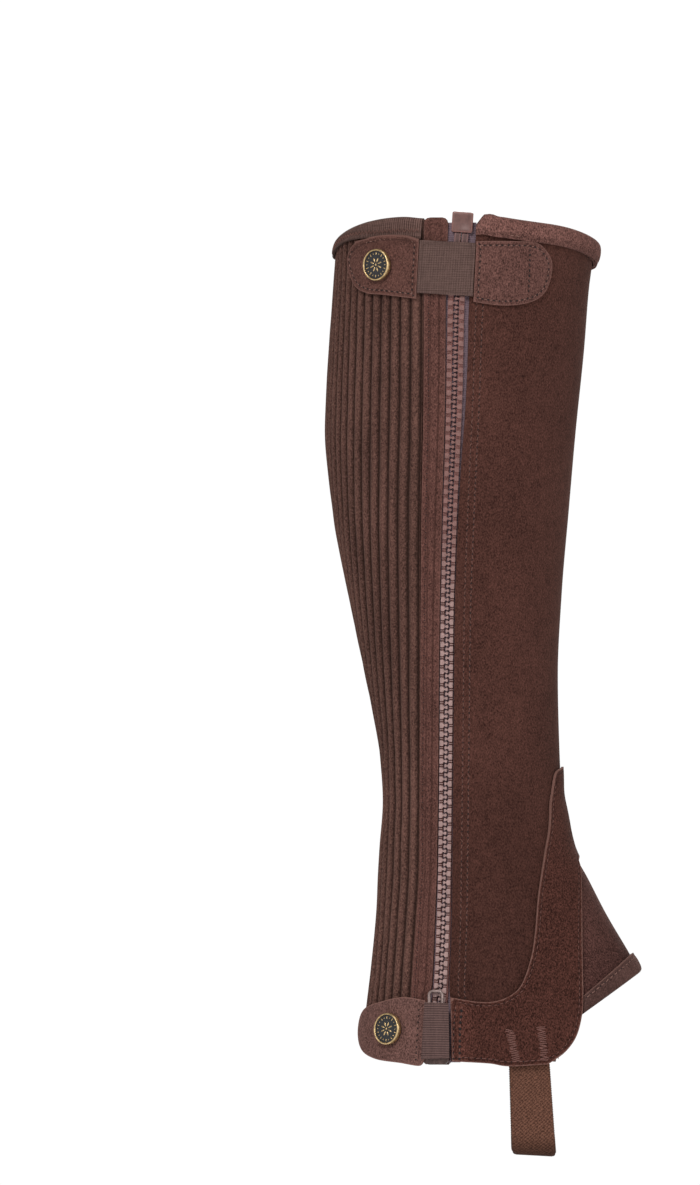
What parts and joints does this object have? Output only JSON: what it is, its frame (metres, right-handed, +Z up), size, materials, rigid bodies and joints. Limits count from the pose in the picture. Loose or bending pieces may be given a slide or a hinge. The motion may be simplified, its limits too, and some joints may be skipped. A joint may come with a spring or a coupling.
{
  "type": "half chap",
  "caption": "Half chap for the right lower leg, filled out and hollow: suede body, ribbed stretch back, side zip, press-stud straps and an elastic foot strap.",
  "frame": {"origin": "on the leg's axis, level with the middle of the top strap, where the wearer's calf holds it", "axes": "+Z up the leg, +X to the front (toe) side, -Y to the outer side, where the zip runs"},
  "size_m": [0.155, 0.1221, 0.463],
  "materials": {
    "suede": "brown suede with a short nap",
    "suede_light": "lighter brown suede with a short nap",
    "suede_dark": "dark brown velvety suede",
    "stretch": "brown stretch cloth, matt",
    "elastic": "woven brown elastic, matt",
    "strap": "woven elastic webbing, slightly lustrous",
    "zip_tape": "grey-brown woven zip tape",
    "zip_plastic": "moulded brown plastic, satin",
    "slider_metal": "brown lacquered metal",
    "antique_brass": "antique brass with a dark face"
  },
  "bodies": {
    "chap": {"leg_panel": "suede", "zip_strip": "suede", "rib_panel": "stretch", "inner_strip": "suede", "grip_patch": "suede_light", "ankle_overlay_outer": "suede", "ankle_overlay_inner": "suede_dark", "instep_gusset": "stretch", "gusset_binding": "stretch", "rim_binding": "suede_light", "rib_rim": "elastic", "hem_binding": "suede_light", "rib_hem": "elastic", "top_tab_fixed": "suede_light", "top_tab_end": "suede_light", "bottom_tab_end": "suede_light", "top_elastic": "elastic", "bottom_elastic": "elastic", "foot_strap": "strap", "zip_tape_rear": "zip_tape", "zip_tape_front": "zip_tape", "zip_chain": "zip_plastic", "zip_box": "zip_plastic", "zip_pin_rear": "zip_plastic", "zip_pin_front": "zip_plastic", "zip_slider": "slider_metal", "top_snap": "antique_brass", "bottom_snap": "antique_brass"},
    "zip_pull": {"zip_pull": "slider_metal"}
  },
  "joints": [
    {"name": "pull_hinge", "type": "hinge", "parent": "chap", "child": "zip_pull", "pos_m": [-0.01333, -0.04197, -0.38148], "axis": [0.9537, -0.3008, -0.0019], "range_deg": [-1, 4.5]}
  ]
}
